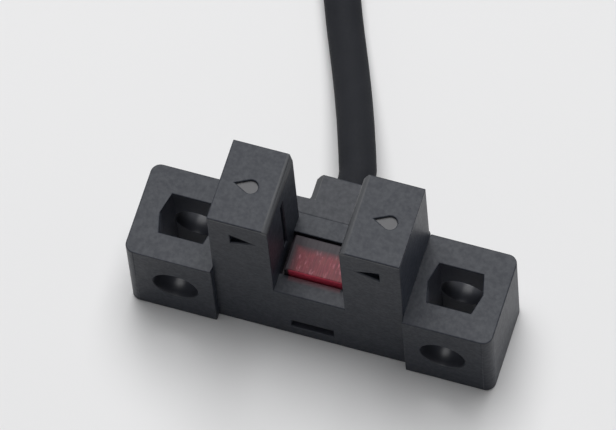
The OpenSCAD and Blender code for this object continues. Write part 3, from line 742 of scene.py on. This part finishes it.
def draw_block(bm, low, high, cut):
    """A box by the tie between two corners, with its edges cut off."""
    corners = [(x, y, z) for x in (low[0], high[0]) for y in (low[1], high[1]) for z in (low[2], high[2])]
    verts = [bm.verts.new(tie_place(x, y, COIL_H + z)) for x, y, z in corners]
    faces = [bm.faces.new([verts[i] for i in loop]) for loop in BLOCK_LOOPS]
    edges = list({e for f in faces for e in f.edges})
    bmesh.ops.bevel(bm, geom=edges, offset=cut * MM, segments=EDGE_SEGMENTS, affect="EDGES", profile=0.5)


def draw_tie(bm):
    """The strap with its head, the head's cap and the strap's cut end."""
    draw_strap(bm)
    for low, high, cut in TIE_BLOCKS:
        draw_block(bm, low, high, cut)


def core_point(index, share):
    """Middle of a bared core, share of the way along it."""
    across, up = list(CORE_PLACES.values())[index]
    e = ease(share)
    tail_end = COIL_START - 360 * coil_stages()[-1][0]
    angle = tail_end - math.degrees(share * STRIP_LENGTH / COIL_MID_R)
    fan = (index - (len(CORE_PLACES) - 1) / 2) * FAN_PITCH
    radius = COIL_MID_R + across * CORE_OFFSET * (1 - e) + fan * e
    start = COIL_H + CABLE_D / 2 + up * CORE_OFFSET
    end = COIL_H + CORE_D / 2
    return polar(radius, angle, start + (end - start) * e)


def make_core_ends():
    """The bared cores, fanned out on the coil."""
    pieces = []
    for index, name in enumerate(CORE_PLACES):
        points = [core_point(index, s / CORE_STEPS) for s in range(CORE_STEPS + 1)]
        core = tube_curve("bared_core_" + name, points, CORE_D, CORE_MATERIALS[name], CORE_ROUNDNESS)
        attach(core, "root")
        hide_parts("end_" + name)
        pieces.append(core)
    return pieces


def draw_strand(bm, start, ahead, phase, ring):
    """One tinned strand, twisted round its bundle's middle."""
    side = ahead.cross(Vector((0, 0, 1))).normalized()
    over = side.cross(ahead)
    loops = []
    for s in range(STRAND_STEPS + 1):
        share = s / STRAND_STEPS
        turn = phase + 2 * math.pi * STRAND_TWIST * share
        middle = start + ahead * TIP_LENGTH * MM * share
        middle = middle + (side * math.cos(turn) + over * math.sin(turn)) * ring * MM
        loops.append([bm.verts.new(middle + (side * math.cos(a) + over * math.sin(a)) * STRAND_D / 2 * MM)
                      for a in (2 * math.pi * k / STRAND_SIDES for k in range(STRAND_SIDES))])
    for low, high in zip(loops, loops[1:]):
        for k in range(STRAND_SIDES):
            j = (k + 1) % STRAND_SIDES
            bm.faces.new((low[k], low[j], high[j], high[k]))
    bm.faces.new(loops[0])
    bm.faces.new(loops[-1])


def draw_tips(bm):
    """The tinned strands at the ends of all the cores."""
    for index in range(len(CORE_PLACES)):
        end = core_point(index, 1)
        ahead = (end - core_point(index, TIP_AIM)).normalized()
        draw_strand(bm, end, ahead, 0, 0)
        for k in range(OUTER_STRANDS):
            draw_strand(bm, end, ahead, 2 * math.pi * k / OUTER_STRANDS, STRAND_D)


def make_floor():
    """A pale floor under the part."""
    mesh = bpy.data.meshes.new("floor")
    half = FLOOR_SIZE / 2
    corners = [(-half, -half, 0), (half, -half, 0), (half, half, 0), (-half, half, 0)]
    mesh.from_pydata(corners, [], [(0, 1, 2, 3)])
    mesh.materials.append(floor_paper())
    floor = link(bpy.data.objects.new("floor", mesh))


def make_key_lamp():
    """An oval soft light that looks at the part."""
    data = bpy.data.lights.new("key", "AREA")
    data.shape = "ELLIPSE"
    data.size, data.size_y = KEY_SIZE
    data.energy = KEY_RADIANCE * math.pi * math.pi * KEY_SIZE[0] * KEY_SIZE[1] / 4
    lamp = link(bpy.data.objects.new("key", data))
    lamp.location = CAMERA_TARGET + KEY_DIRECTION.normalized() * KEY_DISTANCE
    lamp.rotation_mode = "QUATERNION"
    lamp.rotation_quaternion = KEY_DIRECTION.to_track_quat("Z", "Y")


def make_world():
    """A dim even fill, and a pale backdrop for the camera and for reflections."""
    world = bpy.data.worlds.new("studio")
    world.use_nodes = True
    bpy.context.scene.world = world
    tree = world.node_tree
    path = add(tree, "LightPath").outputs
    seen = calc(tree, "MAXIMUM", path["Is Camera Ray"], path["Is Glossy Ray"])
    seen = calc(tree, "MAXIMUM", seen, path["Is Transmission Ray"])
    background = tree.nodes["Background"].inputs
    tree.links.new(spread(tree, seen, AMBIENT, BACKDROP), background["Strength"])
    background["Color"].default_value = BACKDROP_COLOUR


JACKET_BLACK = jacket_black()
TINNED = metal("tinned_metal", TINNED_COLOURS)
TIE_NYLON = plain_plastic("tie_nylon", *TIE_COLOURS, TIE_ROUGH, TIE_SHEEN, TIE_CLOUD_SIZE)
CORE_MATERIALS = {name: core_plastic(name) for name in CORE_COLOURS}

bpy.context.scene.view_settings.view_transform = "Standard"
make_camera()
cable = make_cable(JACKET_BLACK)
for node_name, node_material in node_materials().items():
    dress(node_name, node_material)
marks = mark_edges()
for node_name, edge_r in EDGE_RADII.items():
    soften(node_name, edge_r, marks)

tie = mesh_piece("coil_strap", draw_tie, TIE_NYLON)
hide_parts("coil_tie")
core_ends = make_core_ends()
tips = mesh_piece("tinned_strands", draw_tips, TINNED)
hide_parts("end_tips")

make_floor()
make_key_lamp()
make_world()

bpy.context.view_layer.update()
